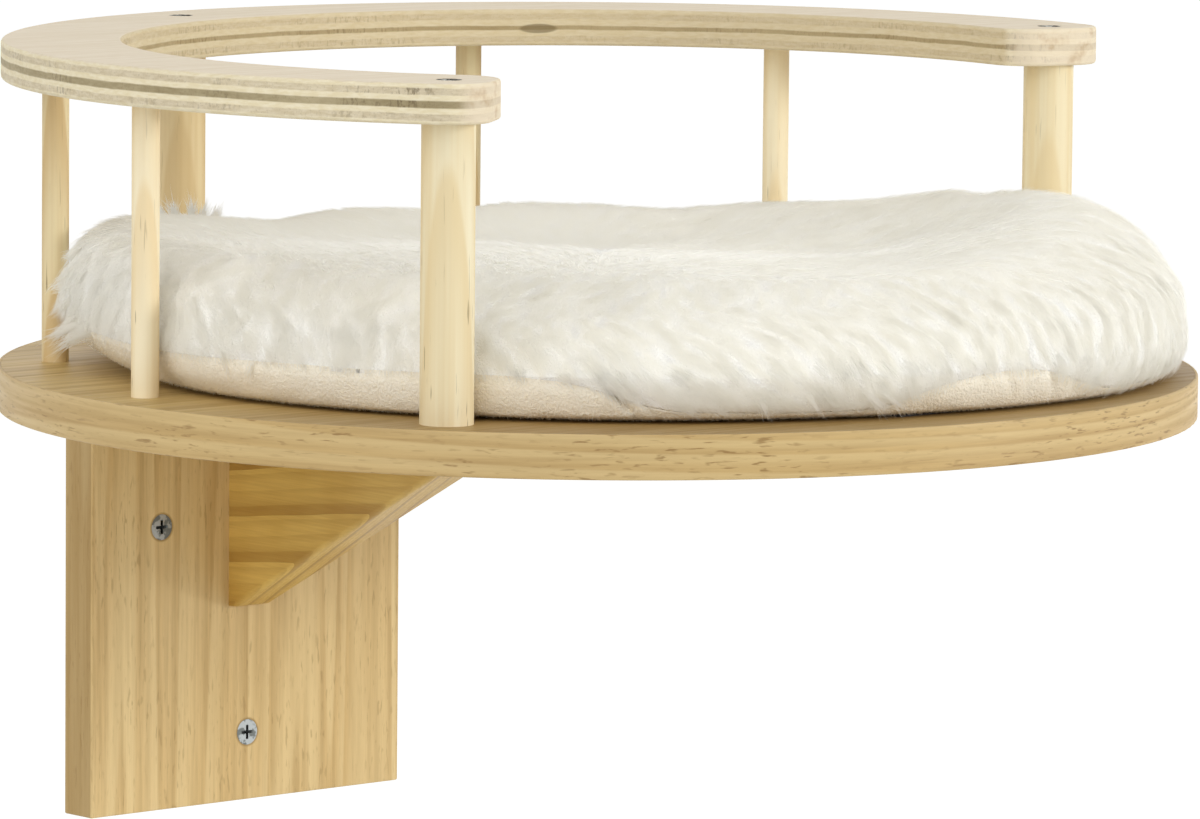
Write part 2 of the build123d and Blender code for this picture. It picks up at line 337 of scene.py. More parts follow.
# The screws: zinc-plated steel with a cross in a countersunk head, the rail's painted dark as
# painted shade where they are seen from the side, with bright patches as painted glints. Each wall
# screw turns in a grey nylon plug that sits in the wall.
def zinc_plated(
    node,
    axis,
    face,
    way,
    pale=colour(150, 154, 154),
    dull=colour(104, 108, 106),
    flat=0.5,
    edge=colour(255, 255, 255),
):
    """Zinc-plated screws, worn in patches, which on the rail's screws are painted glints and
    painted shade, with the walls of the cross in the head painted dark as painted shade and light
    on the left as a painted highlight. Their heads lie in a plane at that place on that axis, way
    is 1 where they point along it, flat is how little the worn patches mirror, and edge is the
    tint of what the plating mirrors where it is seen almost from the side."""
    made, start = finish("zinc_" + node)
    place = own_place(start)
    depth = (own_axes(start).other(axis) - face) * way
    clouds = noise_on(place, 330, 2, 0.6)
    wear_and_painted_light = clouds.rise(0.44, 0.56)
    scratches = noise_on(stretched(start, place, (1, 1, 0.1)), 6000, 2)
    painted_glint = parts(start.node("NewGeometry", {}, {}, "Normal")).rise(0.2, 0.7)
    recess_painted_light = painted_glint.blend(colour(74, 76, 74), colour(214, 218, 216))
    coat(
        start,
        {
            "Base Color": depth.rise(0.0001, 0.0006).blend(wear_and_painted_light.blend(pale, dull), recess_painted_light),
            "Metallic": 1 - flat * wear_and_painted_light,
            "Specular IOR Level": 0.1,
            "Specular Tint": edge,
            "Roughness": 0.3 + 0.2 * clouds,
            "Normal": relief_of(scratches, 0.2, 0.00005),
        },
    )
    dress([node], made)


plate_back = 0.0
board_low, board_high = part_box("shelf_board")
rail_low, rail_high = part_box("rail")
wall_plating = colour(162, 166, 165), colour(112, 116, 113), 0.4
zinc_plated("wall_screws", "Y", plate_low.y, 1, *wall_plating)
zinc_plated("bracket_screws", "Y", plate_back, -1)
# The rail screws' plating is painted light: near-black patches as painted shade, bright ones as
# painted glints, and a dark tint to what it mirrors from the side as painted shade.
rail_plating_painted_light = colour(226, 226, 220), colour(26, 22, 16), 0.0, colour(116, 108, 94)
zinc_plated("rail_screws", "Z", rail_high.z, -1, *rail_plating_painted_light)
zinc_plated("post_base_screws", "Z", board_low.z, 1)
zinc_plated("board_screws", "Z", board_high.z, -1)

nylon, start = finish("grey_nylon")
mottle = noise_on(own_place(start), 700, 3)
coat(
    start,
    {
        "Base Color": mottle.blend(colour(150, 152, 154), colour(178, 180, 181)),
        "Roughness": 0.42 + 0.1 * mottle,
        "Normal": relief_of(mottle, 0.3, 0.0001),
    },
)
dress(["wall_plugs"], nylon)


# The bracket: a wedge sawn from solid pine and varnished, its grain along its length, so
# that the year rings show as long bands that close in a point. It is screwed from above.
ring_gap = 0.0172
bracket_pine, start = finish("varnished_pine")
place = own_place(start)
sway = noise_on(stretched(start, place, (1, 0.2, 1)), 26, 2) - 0.5
ripple = noise_on(stretched(start, place, (1, 0.08, 1)), 190, 2) - 0.5
axes = own_axes(start)
across_rings = axes.other("Z") + 0.105 * axes.other("Y") + 2.5 * axes
rings = start.maths("FRACT", (across_rings + 0.007 * sway + 0.0016 * ripple) / ring_gap)
taper = 0.62 + 2.6 * axes.other("Y")
late = (1 - rings.rise(0.0, taper)) * (0.45 + 0.55 * noise_on(place, 45, 1))
late = late + 0.22 * start.maths("FRACT", rings * 3 + 0.3).rise(0.4, 0.95)
fibres = noise_on(stretched(start, place, (1, 0.03, 1)), 1300, 3, 0.6).rise(0.32, 0.7)
tone = noise_on(place, 28, 2).rise(0.3, 0.7)
ground = tone.blend(colour(225, 189, 102), colour(207, 167, 79))
banded = (0.86 * late).blend(ground, colour(154, 108, 34))
base = (0.18 * fibres).blend(banded, colour(150, 106, 44))
coat(
    start,
    {
        "Base Color": base,
        "Roughness": 0.4 + 0.12 * fibres,
        "Specular IOR Level": 0.4,
        "Coat Weight": 0.15,
        "Coat Roughness": 0.35,
        "Normal": relief_of(fibres + late, 0.2, 0.0002),
    },
)
dress(["bracket"], bracket_pine)


# The round board: oak print like the plate's, its grain along the wall, with an edging
# wound round its rim, on which the grain runs round.
board_middle = -0.21
board_radius = 0.21


def along_wall(start):
    """The place with its third axis along the wall."""
    axes = own_axes(start)
    turned = {"X": axes.other("Y"), "Y": axes.other("Z"), "Z": axes}
    return start.node("CombineXYZ", {}, turned)


def round_rim(start):
    """The place on the rim: out from the middle, up, and round."""
    axes = own_axes(start)
    ahead = axes.other("Y") - board_middle
    turn = start.maths("ARCTAN2", axes, ahead * -1.0)
    reach = start.maths("SQRT", axes * axes + ahead * ahead)
    turned = {"X": reach, "Y": axes.other("Z"), "Z": turn * board_radius}
    return start.node("CombineXYZ", {}, turned)


def board_front_shade(start):
    """0 on the board's back half, rising to 1 well before its front rim: where the top gets the
    painted shade of the cushion over it.
    """
    return (board_middle - own_axes(start).other("Y")).rise(-0.02, 0.12)


# The top's shades are a little darker than the rim's, as painted shade, and the top is painted
# darker still towards its front, as the shade of the cushion over it.
top_shades = [colour(214, 187, 125), colour(191, 160, 97), colour(136, 104, 52)]
rim_shades = [colour(218, 192, 137), colour(200, 168, 109), colour(142, 109, 58)]
dress(["shelf_board"], oak_print("oak_print_board", along_wall, *top_shades, 0.3, board_front_shade, 0.7))
dress(["board_edging"], oak_print("oak_print_rim", round_rim, *rim_shades, 0.8))


# The uprights: three thick posts and four thin spindles of turned white pine, set in the
# board and under the rail, sanded and left bare.
upright_ring_gap = 0.0074


def bare_pine(names, pale, honey):
    """Turned pine between a pale and a honey shade. The year rings lie almost flat on the
    sides that look into the room, and dark resin pores gather near the feet."""
    made, start = finish("pine_" + names[0])
    place = own_place(start)
    axes = own_axes(start)
    sway = noise_on(stretched(start, place, (1, 1, 0.25)), 30, 2) - 0.5
    depth = 0.66 * axes + 0.75 * axes.other("Y") + 0.09 * axes.other("Z") + 0.006 * sway
    rings = start.maths("FRACT", depth / upright_ring_gap)
    late = rings.rise(0.2, 0.82) * (1 - rings.rise(0.86, 1.0))
    streaks = noise_on(stretched(start, place, (1, 1, 0.02)), 330, 2, 0.5).rise(0.34, 0.7)
    tone = noise_on(stretched(start, place, (1, 1, 0.2)), 40, 2).rise(0.3, 0.7)
    near_foot = 1 - axes.other("Z").rise(board_high.z + 0.012, board_high.z + 0.075)
    pores = noise_on(stretched(start, place, (1, 1, 0.05)), 1000, 2, 0.5).rise(0.66, 0.72)
    pores = pores * (0.22 + 0.78 * near_foot)
    ground = (0.4 * streaks + 0.4 * tone).blend(pale, honey)
    banded = (0.7 * late).blend(ground, honey)
    coat(
        start,
        {
            "Base Color": (0.75 * pores).blend(banded, colour(112, 88, 50)),
            "Roughness": 0.52 + 0.12 * streaks,
            "Specular IOR Level": 0.3,
            "Normal": relief_of(streaks - pores, 0.3, 0.00015),
        },
    )
    dress(names, made)


front_spindles = ["spindle_left_front", "spindle_right_front"]
back_spindles = ["spindle_left_back", "spindle_right_back"]
upright_names = ["post_left", "post_right", "post_back", *front_spindles, *back_spindles]
# Each group has its own shades, partly the tone of its wood and partly painted light: the back
# post and back spindles darker as painted shade, the front spindles paler as painted light.
bare_pine(["post_left", "post_right"], colour(247, 237, 204), colour(232, 210, 162))
bare_pine(front_spindles, colour(254, 243, 211), colour(241, 217, 169))
bare_pine(back_spindles, colour(238, 222, 179), colour(209, 177, 122))
bare_pine(["post_back"], colour(240, 220, 174), colour(218, 190, 138))


# The rail: an open ring sawn from birch plywood of seven plies, sanded and left bare. Its
# edges show the plies in turn along and across their grain, the latter torn here and there.
ply_seams = [0.1, 0.262, 0.405, 0.58, 0.72, 0.885]  # shares of its thickness
rail_inner_radius = 0.167
plywood, start = finish("birch_plywood")
place = own_place(start)
axes = own_axes(start)
ahead = axes.other("Y") - board_middle
from_middle = start.maths("SQRT", axes * axes + ahead * ahead)
inner_edge = 1 - from_middle.rise(rail_inner_radius + 0.001, rail_inner_radius + 0.003)
round_place = round_rim(start)
waver = noise_on(place, 34, 3, 0.6) - 0.5
share_up = (axes.other("Z") - rail_low.z) / (rail_high.z - rail_low.z) + 0.08 * waver
seam_blur = 0.02


def ply(low, high, thinner=0.0):
    """1 on the rail's edge between two shares of its thickness, and 0 elsewhere."""
    over = share_up.rise(low + thinner - seam_blur, low + thinner + seam_blur)
    return over * (1 - share_up.rise(high - thinner - seam_blur, high - thinner + seam_blur))


patches = noise_on(stretched(start, round_place, (1, 1, 0.5)), 30, 2, 0.6).rise(0.35, 0.65)
outer_ply = ply(*ply_seams[0:2]) + ply(*ply_seams[4:6])
outer_ply = outer_ply * (0.68 + 0.32 * patches) * (1 - 0.3 * inner_edge)
middle_ply = ply(*ply_seams[2:4]) * (1 - inner_edge) + ply(*ply_seams[2:4], 0.03) * inner_edge
fibres = noise_on(stretched(start, place, (1, 1, 4)), 260, 3, 0.6).rise(0.3, 0.7)
specks = noise_on(stretched(start, place, (1, 1, 0.8)), 1500, 2, 0.6).rise(0.56, 0.72)
tears = noise_on(stretched(start, round_place, (1, 0.35, 1)), 700, 3, 0.6).rise(0.5, 0.62)
torn_parts = noise_on(round_place, 18, 2, 0.6).rise(0.46, 0.62)
torn = tears * torn_parts * (outer_ply + middle_ply)
long_grain = fibres.blend(colour(243, 232, 202), colour(233, 219, 182))
outer_grain = fibres.blend(colour(221, 208, 180), colour(204, 189, 158))
middle_grain = (0.6 * patches + 0.3 * fibres).blend(colour(188, 174, 140), colour(150, 135, 100))
edges = outer_ply.blend(long_grain, outer_grain)
edges = middle_ply.blend(edges, middle_grain)
edges = (0.28 * specks * (outer_ply + middle_ply)).blend(edges, colour(112, 94, 62))
edges = (0.62 * torn).blend(edges, colour(96, 80, 54))
# The inner edge is painted darker, as painted shade.
edges = (0.4 * inner_edge).blend(edges, colour(180, 152, 102))

# A knot in the middle ply of the inner edge, and the arms' sanded ends, where the plies blur.
knot_turn, knot_up = math.radians(-33.5), 0.47
knot_length, knot_height = 0.0075, 0.14
turned = parts(round_place).other("Z") / board_radius
off_turn = (turned - math.pi - knot_turn) * rail_inner_radius / knot_length
off_height = (share_up - knot_up) / knot_height
knot = 1 - (off_turn * off_turn + off_height * off_height).rise(0.6, 1.1)
edges = (0.7 * knot * inner_edge).blend(edges, colour(120, 102, 66))
look = parts(start.node("NewGeometry", {}, {}, "Normal"))
along_arm = start.maths("ABSOLUTE", (look * ahead - look.other("Y") * axes) / from_middle)
smudges = noise_on(place, 130, 3, 0.6).rise(0.5, 0.72)
end_face = smudges.blend(colour(234, 218, 192), colour(204, 176, 142))
edges = (0.7 * along_arm.rise(0.35, 0.8)).blend(edges, end_face)
top_fibres = noise_on(stretched(start, place, (0.06, 1, 1)), 420, 3, 0.6).rise(0.3, 0.7)
top = top_fibres.blend(colour(241, 228, 205), colour(233, 218, 191))
base = start.maths("ABSOLUTE", look.other("Z")).rise(0.8, 0.97).blend(edges, top)
coat(
    start,
    {
        "Base Color": base,
        "Roughness": 0.56 + 0.12 * fibres,
        "Specular IOR Level": 0.25,
        "Normal": relief_of(fibres - 1.5 * torn - 0.4 * outer_ply, 0.3, 0.00015),
    },
)
dress(["rail"], plywood)


# The hook and loop strips that hold the cushion: woven tape with a nap of small nylon
# hooks, stuck to the board, or of loops, sewn under the cushion.
def tape(name, pale, dark):
    """Woven nylon tape with a dense nap."""
    made, start = finish(name)
    nap = start.node("TexVoronoi", {}, {"Vector": own_place(start), "Scale": 900}, "Distance")
    coat(
        start,
        {
            "Base Color": nap.rise(0.1, 0.8).blend(pale, dark),
            "Roughness": 0.7 + 0.1 * nap,
            "Normal": relief_of(nap, 0.6, 0.0004),
        },
    )
    return made


dress(["hook_strips"], tape("hook_tape_grey", colour(92, 92, 90), colour(48, 48, 48)))
dress(["loop_strips"], tape("loop_tape_pale", colour(214, 206, 190), colour(176, 166, 148)))


# The cushion: two round covers sewn together on a line low on its side, stuffed with loose
# fibre and slack, so that it swells to the open front and rides up on the right post. The
# under cover is cream velour with a short nap.
board_top = board_high.z
middle = np.array([0, board_middle])
turns = 720  # points in each row round the cushion

# Degrees from the wall round to the left, with the reach of the side and of the flat bottom
# and how far the rim stands over the board, in millimetres, and how square the edge is above
# and below.
cushion_plan = [
    (0, 181, 164, 49, 9, 2.4),
    (12, 181, 164, 42, 10, 2.4),
    (20, 184, 164, 41, 14, 2.2),
    (32, 188.5, 161, 43.5, 26, 1.8),
    (43, 190, 158, 46.5, 46, 1.6),
    (56, 190, 156, 50.5, 50, 1.6),
    (70, 188, 157, 48, 26, 1.8),
    (90, 185, 166, 45, 14, 2.6),
    (105, 182, 168, 42, 10, 3.2),
    (123, 181, 176, 39, 8, 3.6),
    (140, 185, 175, 38, 7, 3.6),
    (160, 190, 174, 38, 7, 3.2),
    (180, 195, 181, 40, 7, 3.4),
    (199, 203, 193, 44, 8, 3.4),
    (214, 207, 195, 50, 9, 3),
    (229, 208.5, 196, 56.5, 10.6, 2.8),
    (243, 203.5, 187, 61.5, 12, 2.6),
    (258, 185, 171, 64.2, 12, 2.4),
    (275, 180, 165, 57.5, 12, 2.4),
    (290, 181, 164, 48, 10, 2.4),
    (310, 181, 164, 44.8, 9, 2.4),
    (335, 180, 164, 44.3, 9, 2.4),
    (350, 181, 164, 46, 9, 2.4),
]


def round_board(reach, turn):
    """The places at those reaches and turns, round the middle of the board."""
    return -reach * np.sin(turn), board_middle + reach * np.cos(turn)


def smooth_ring(values, passes):
    """Values round a closed ring, each pass averaged with its neighbours'."""
    for _ in range(passes):
        values = (np.roll(values, 1, 0) + values * 2 + np.roll(values, -1, 0)) / 4
    return values


def drift(places, wave, seed):
    """Smooth chance values of about -1 to 1 over those places. wave is their size."""
    chance = np.random.default_rng(seed)
    total = np.zeros(len(places))
    for _ in range(7):
        way = chance.normal(size=3)
        way *= 2 * math.pi / wave / np.linalg.norm(way) * chance.uniform(0.6, 1.4)
        total += np.sin(places @ way + chance.uniform(0, 2 * math.pi))
    return total / 2.6


turn = np.linspace(0, 2 * math.pi, turns, endpoint=False)
plan = np.array(cushion_plan, float)
reach, flat, rim, square, foot = (
    smooth_ring(np.interp(np.degrees(turn), plan[:, 0], plan[:, k], period=360), 400)
    for k in (1, 2, 3, 4, 5)
)
reach, flat, rim = reach / 1000, flat / 1000, rim / 1000

# Each post and spindle presses a round hollow into the side, just deep enough to clear it.
uprights = []
for name in upright_names:
    low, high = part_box(name)
    uprights.append(((low.x + high.x) / 2, (low.y + high.y) / 2, (high.x - low.x) / 2))
hollow_radius, hollow_gap = 0.012, 0.0005
least_round = 0.004  # from the flat bottom to the side
for x, y, radius in uprights:
    ahead = y - board_middle
    off = (turn - math.atan2(-x, ahead) + math.pi) % (2 * math.pi) - math.pi
    clear = math.hypot(x, ahead) - radius - hollow_gap
    reach = np.minimum(reach, clear + (off * clear) ** 2 / (2 * hollow_radius))
    flat = np.minimum(flat, reach - least_round)
reach, flat = smooth_ring(reach, 30), smooth_ring(flat, 30)

# Rows of the closed form from the middle of its top, over the rim, to the middle of its
# bottom. Each row has its reach and its height all round.
widest = 0.4  # the share of the rim's height at which the side is widest
middle_height = 0.038
rim_round = 2.4
rest_gap = 0.0004
near_shares = np.linspace(0.02, 0.82, 30)
far_shares = 1 - 0.18 * np.linspace(1, 0, 22)[1:] ** 2
top_shares = np.concatenate([near_shares, far_shares])
under_rows = 15
rows = []
for share in top_shares:
    rim_part = share**2
    height = (rim * rim_part + middle_height * (1 - rim_part)) - widest * rim
    drop = (1 - share**square) ** (1 / rim_round)
    rows.append((reach * share, widest * rim + height * drop))
for lean in np.linspace(0, math.pi / 2, under_rows + 1)[1:]:
    out = flat + (reach - flat) * max(math.cos(lean), 0) ** (2 / foot)
    rows.append((out, widest * rim * (1 - math.sin(lean) ** (2 / foot))))
for share in np.linspace(1, 0.02, 16)[1:]:
    rows.append((flat * share, np.zeros(turns)))
grid = []
for out, height in rows:
    x, y = round_board(out, turn)
    grid.append(np.stack([x, y, board_top + rest_gap + height], 1))
grid = np.array(grid)

# The top sinks in on the right, and is a little lumpy all over.
dip_turn, dip_reach = math.radians(-102), 0.085
dip_width, dip_depth = 0.06, 0.007
lump_height = 0.0012
on_top = np.clip((grid[:, :, 2] - board_top) / 0.04, 0, 1) ** 2
far = np.linalg.norm(grid[:, :, :2] - np.array(round_board(dip_reach, dip_turn)), axis=2)
grid[:, :, 2] -= dip_depth * np.exp(-((far / dip_width) ** 2)) * on_top
lumps = drift(grid.reshape(-1, 3) * (1, 1, 0), 0.11, 3) * lump_height
grid[:, :, 2] += lumps.reshape(on_top.shape) * on_top


def quads_of(row_count):
    """The faces between that many rows of points that go round."""
    faces = []
    for row in range(row_count - 1):
        here, there = row * turns, (row + 1) * turns
        for k in range(turns):
            after = (k + 1) % turns
            faces.append((here + k, there + k, there + after, here + after))
    return faces


def closed_form(points):
    """The points and faces of a form of those rows, closed by a fan at both ends."""
    count = len(points)
    ends = np.array([points[0].mean(0), points[-1].mean(0)])
    faces = quads_of(count)
    for k in range(turns):
        after = (k + 1) % turns
        faces.append((count * turns, k, after))
        faces.append((count * turns + 1, (count - 1) * turns + after, (count - 1) * turns + k))
    return np.concatenate([points.reshape(-1, 3), ends]), faces


def places_of(mesh):
    """A mesh's points as an array."""
    spots = np.zeros(len(mesh.vertices) * 3)
    mesh.vertices.foreach_get("co", spots)
    return spots.reshape(-1, 3)


held_height = 0.0135
cloth_steps = 20


def swollen(points, voxel, pressure, cap):
    """The closed form, swollen as cloth by a pressure inside it, held round its side at the
    held height and where it lies flat. No point moves further than cap. Returned as a tree
    to look up."""
    form = new_piece("swelling", *closed_form(points))
    bpy.context.view_layer.objects.active = form
    form.select_set(True)
    even = form.modifiers.new("even", "REMESH")
    even.mode = "VOXEL"
    even.voxel_size = voxel
    bpy.ops.object.modifier_apply(modifier=even.name)
    before = places_of(form.data)
    sewn = np.abs(before[:, 2] - board_top - held_height) < voxel * 0.6
    resting = before[:, 2] < board_top + 0.003
    held = form.vertex_groups.new(name="held")
    held.add([int(k) for k in np.flatnonzero(sewn | resting)], 1.0, "REPLACE")
    cloth = form.modifiers.new("cloth", "CLOTH")
    cloth.settings.use_pressure = True
    cloth.settings.uniform_pressure_force = pressure
    cloth.settings.effector_weights.gravity = 0
    cloth.settings.vertex_group_mass = held.name
    cloth.settings.quality = 5
    cloth.collision_settings.use_collision = False
    cloth.point_cache.frame_start = 1
    cloth.point_cache.frame_end = cloth_steps
    for step in range(1, cloth_steps + 1):
        bpy.context.scene.frame_set(step)
    after = places_of(form.evaluated_get(bpy.context.evaluated_depsgraph_get()).data)
    moved = after - before
    far = np.linalg.norm(moved, axis=1, keepdims=True)
    moved *= np.minimum(1, cap / np.maximum(far, 1e-9))
    faces = [tuple(p.vertices) for p in form.data.polygons]
    bpy.data.objects.remove(form)
    bpy.context.scene.frame_set(1)
    return BVHTree.FromPolygons([Vector(v) for v in before + moved], faces)


middle_place = np.array([0, board_middle, board_top + 0.02])
shrunk = grid * 0.99 + middle_place * 0.01
tree = swollen(shrunk, voxel=0.005, pressure=4.0, cap=0.003)
looked_up = 3  # every third point of a row, with the ones between set evenly
for row in grid:
    for k in range(0, turns, looked_up):
        row[k] = tree.find_nearest(Vector(row[k]))[0]
    for k in range(0, turns, looked_up):
        a, b = row[k], row[(k + looked_up) % turns]
        for part in range(1, looked_up):
            row[k + part] = a + (b - a) * part / looked_up
    row[:] = smooth_ring(row, 6)
grid[:, :, 2] = np.maximum(grid[:, :, 2], board_top + rest_gap)

# Degrees from the wall round to the left, and how far in millimetres the sewn line stands
# over the board there. The rows are spaced anew below the rim, so that one lies on it.
seam_line = [(40, 14), (56, 16.5), (72, 16.5), (85, 15), (100, 15.5), (115, 16), (128, 15.8)]
seam_line += [(135, 14), (139, 11), (142, 7), (147, 4), (160, 3.2), (168, 3.4), (171, 6.5)]
seam_line += [(174, 10), (179, 13.5), (186, 14.5), (190, 12.5), (194, 8), (199, 4), (212, 3.5)]
seam_line += [(235, 5), (260, 9), (300, 13), (340, 13)]


def metres_at(line, degrees):
    """A line's millimetres at those turns, in metres."""
    table = np.array(line, float)
    return np.interp(degrees, table[:, 0], table[:, 1], period=360) / 1000


seam_at = smooth_ring(metres_at(seam_line, np.degrees(turn)), 12)
outer = top_shares.size
seam_row = outer + 6
old_rows = np.arange(outer - 1, outer + under_rows)
first, last = old_rows[0], old_rows[-1]
for k in range(turns):
    column = grid[old_rows, k]
    sewn = np.interp(-seam_at[k], board_top - column[:, 2], old_rows)
    spots = np.interp(old_rows, [first, seam_row, last], [first, sewn, last])
    for axis in range(3):
        grid[old_rows, k, axis] = np.interp(spots, old_rows, column[:, axis])

# The sewn line draws the side in a little, and the covers pucker at it. Degrees from the wall
# round to the left, then a pleat's slant, half its width, its depth and half its height, in
# millimetres.
pleats = [(140.5, 1.6, 1.6, 2.2, 7), (143.5, 1.6, 1.4, 1.2, 6), (183.5, 0.3, 1.7, 1.2, 8)]
pleats += [(186.6, -0.2, 1.9, 2.4, 9), (189.4, 0.4, 1.7, 1.6, 9), (193, 0.2, 2.2, 1.0, 8)]
side_reach = 0.19
seam_depth, pucker_depth = 0.0002, 0.0005
off_seam = grid[:, :, 2] - board_top - seam_at
out_way = grid[:, :, :2] - middle
out_way /= np.linalg.norm(out_way, axis=2, keepdims=True)
round_side = np.stack([turn * side_reach, turn * 0, turn * 0], 1)
puckers = drift(round_side, 0.011, 5)
puckers = puckers * (0.5 + 0.5 * drift(round_side, 0.06, 6))
nearness = np.exp(-((off_seam / 0.0045) ** 2))
inward = seam_depth * np.exp(-((off_seam / 0.0014) ** 2))
inward = inward - pucker_depth * puckers[None] * nearness
for at, slant, half_width, depth, half_height in pleats:
    off = ((turn - math.radians(at) + math.pi) % (2 * math.pi) - math.pi) * side_reach
    across = (off + slant * off_seam) * 1000 / half_width
    fade = np.exp(-(across**2) - (off_seam * 1000 / half_height) ** 2)
    inward = inward + depth / 1000 * fade
row_numbers = np.arange(len(rows))
side = (row_numbers >= outer - 12) & (row_numbers <= outer + 13)
inward = inward * side[:, None] * np.clip(seam_at / 0.008, 0, 1)
grid[:, :, :2] -= out_way * inward[:, :, None]


cover_thickness = 0.0014


def cover(name, points):
    """A cover of those rows of points, on the cushion, with the hole round its middle closed
    and its thickness set inwards."""
    form = new_piece(name, points.reshape(-1, 3), quads_of(len(points)))
    bm = bmesh.new()
    bm.from_mesh(form.data)
    hole = [
        edge
        for edge in bm.edges
        if edge.is_boundary and all(math.dist(v.co[:2], middle) < 0.02 for v in edge.verts)
    ]
    bmesh.ops.holes_fill(bm, edges=hole)
    bmesh.ops.recalc_face_normals(bm, faces=bm.faces)
    bm.to_mesh(form.data)
    bm.free()
    for face in form.data.polygons:
        face.use_smooth = True
    thick = form.modifiers.new("thickness", "SOLIDIFY")
    thick.thickness = cover_thickness
    thick.offset = -1
    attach(form, "cushion")
    return form


def plush_looks(name, pale, warm, depth, through=0.0, glow=(1, 1, 1, 1)):
    """Soft fibre between a pale and a warm shade, with relief of that depth. Through is the
    share of the light that thin hairs let through, in the colour glow."""
    made, start = finish(name)
    place = own_place(start)
    clouds = noise_on(place, 26, 3).rise(0.3, 0.7)
    fibre = noise_on(place, 1100, 2, 0.6).rise(0.3, 0.7)
    coat(
        start,
        {
            "Base Color": (0.35 * clouds + 0.3 * (1 - fibre)).blend(pale, warm),
            "Roughness": 0.85 + 0.1 * fibre,
            "Specular IOR Level": 0.15,
            "Sheen Weight": 0.25,
            "Sheen Roughness": 0.5,
            "Normal": relief_of(fibre, 0.5, depth),
        },
        through,
        glow,
    )
    return made


under_cover = cover("cushion_under_cover", grid[seam_row:])
velour = plush_looks("cream_velour", colour(255, 249, 234), colour(254, 243, 222), 0.0007)
under_cover.data.materials.append(velour)
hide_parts("cushion_base", "cushion_filling")

# The upper cover is white long-pile plush. Its pile is combed outwards from the middle, and
# hangs over the sewn line in tufts.
upper_cover = cover("cushion_upper_cover", grid[: seam_row + 1])
plush = plush_looks("white_plush", colour(254, 253, 249), colour(250, 248, 241), 0.0008)
upper_cover.data.materials.append(plush)
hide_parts("cushion_top")

pile_glow = colour(254, 253, 249)
pile_shades = colour(253, 252, 248), colour(250, 248, 241)
pile_looks = plush_looks("white_pile", *pile_shades, 0.0002, through=0.68, glow=pile_glow)
pile_chance = np.random.default_rng(11)
pile_length = 0.012
lock_hairs = 19
lock_width = 0.0024
hair_width = 0.00016
hair_steps = 4
guide_steps = 7
stray_width = 0.0004
hair_clearance = 0.0012  # from the uprights
lowest_guide = board_top + 0.0012
lowest_pile = board_top + 0.0008


def unit(ways):
    """The same directions, one long."""
    return ways / np.maximum(np.linalg.norm(ways, axis=-1, keepdims=True), 1e-12)


def scattered(points, faces, count):
    """Chance places on those faces, as many on each area, with the way each face looks."""
    corners = points[faces]
    cross = np.cross(corners[:, 1] - corners[:, 0], corners[:, 2] - corners[:, 0])
    area = np.linalg.norm(cross, axis=1)
    even = (np.arange(count) + pile_chance.random(count)) / count
    picked = np.searchsorted(np.cumsum(area) / area.sum(), even).clip(0, len(faces) - 1)
    a, b = pile_chance.random((2, count, 1))
    over = a + b > 1
    a, b = np.where(over, 1 - a, a), np.where(over, 1 - b, b)
    three = corners[picked]
    places = three[:, 0] + a * (three[:, 1] - three[:, 0]) + b * (three[:, 2] - three[:, 0])
    return places, unit(cross[picked])


def triangles_of(rows_of_points):
    """Points and triangles of rows that go round, seen from outside."""
    points = rows_of_points.reshape(-1, 3)
    quads = np.array(quads_of(len(rows_of_points)))
    return points, np.concatenate([quads[:, [0, 1, 2]], quads[:, [0, 2, 3]]])


def clear_of_uprights(places):
    """The places, moved out of the posts and spindles."""
    for x, y, radius in uprights:
        axis = np.array([x, y])
        keep = radius + hair_clearance
        off = places[..., :2] - axis
        far = np.linalg.norm(off, axis=-1, keepdims=True)
        pushed = axis + off / np.maximum(far, 1e-9) * keep
        places[..., :2] = np.where(far < keep, pushed, places[..., :2])
    return places


def hair_mesh(name, paths, outward, width, material, slot, keeper):
    """Tapered flat hairs along those paths, each a strip that ends in a point, shaded as if
    they looked outward. paths is an array of hairs by steps by three, and keeper is the
    piece that they grow on."""
    hairs, steps = paths.shape[:2]
    run = unit(np.gradient(paths, axis=1))
    across = unit(np.cross(run, outward[:, None]))
    lift = np.cross(across, run)
    twist = pile_chance.normal(0, 0.22, (hairs, 1, 1))
    across = across * np.cos(twist) + lift * np.sin(twist)
    share = np.linspace(0, 1, steps)[None, :, None]
    half = width[:, None, None] / 2 * (1 - 0.55 * share**2)
    left, right = paths - across * half, paths + across * half
    points = np.concatenate(
        [np.stack([left[:, :-1], right[:, :-1]], 2).reshape(hairs, -1, 3), paths[:, -1:]], 1
    )
    per_hair = points.shape[1]
    pattern = []
    for k in range(steps - 2):
        a = 2 * k
        pattern += [(a, a + 1, a + 3), (a, a + 3, a + 2)]
    pattern.append((per_hair - 3, per_hair - 2, per_hair - 1))
    faces = (np.arange(hairs)[:, None, None] * per_hair + np.array(pattern)).reshape(-1, 3)
    mesh = bpy.data.meshes.new(name)
    mesh.vertices.add(hairs * per_hair)
    mesh.vertices.foreach_set("co", points.ravel())
    mesh.loops.add(faces.size)
    mesh.loops.foreach_set("vertex_index", faces.ravel())
    mesh.polygons.add(len(faces))
    mesh.polygons.foreach_set("loop_start", np.arange(0, faces.size, 3))
    mesh.polygons.foreach_set("use_smooth", np.ones(len(faces), bool))
    mesh.update()
    looking = unit(outward[:, None] + 0.15 * lift).repeat(2, 1)[:, :per_hair]
    mesh.normals_split_custom_set_from_vertices(looking.reshape(-1, 3))
    piece = bpy.data.objects.new(name, mesh)
    bpy.context.scene.collection.objects.link(piece)
    piece.data.materials.append(material)
    piece.parent = keeper


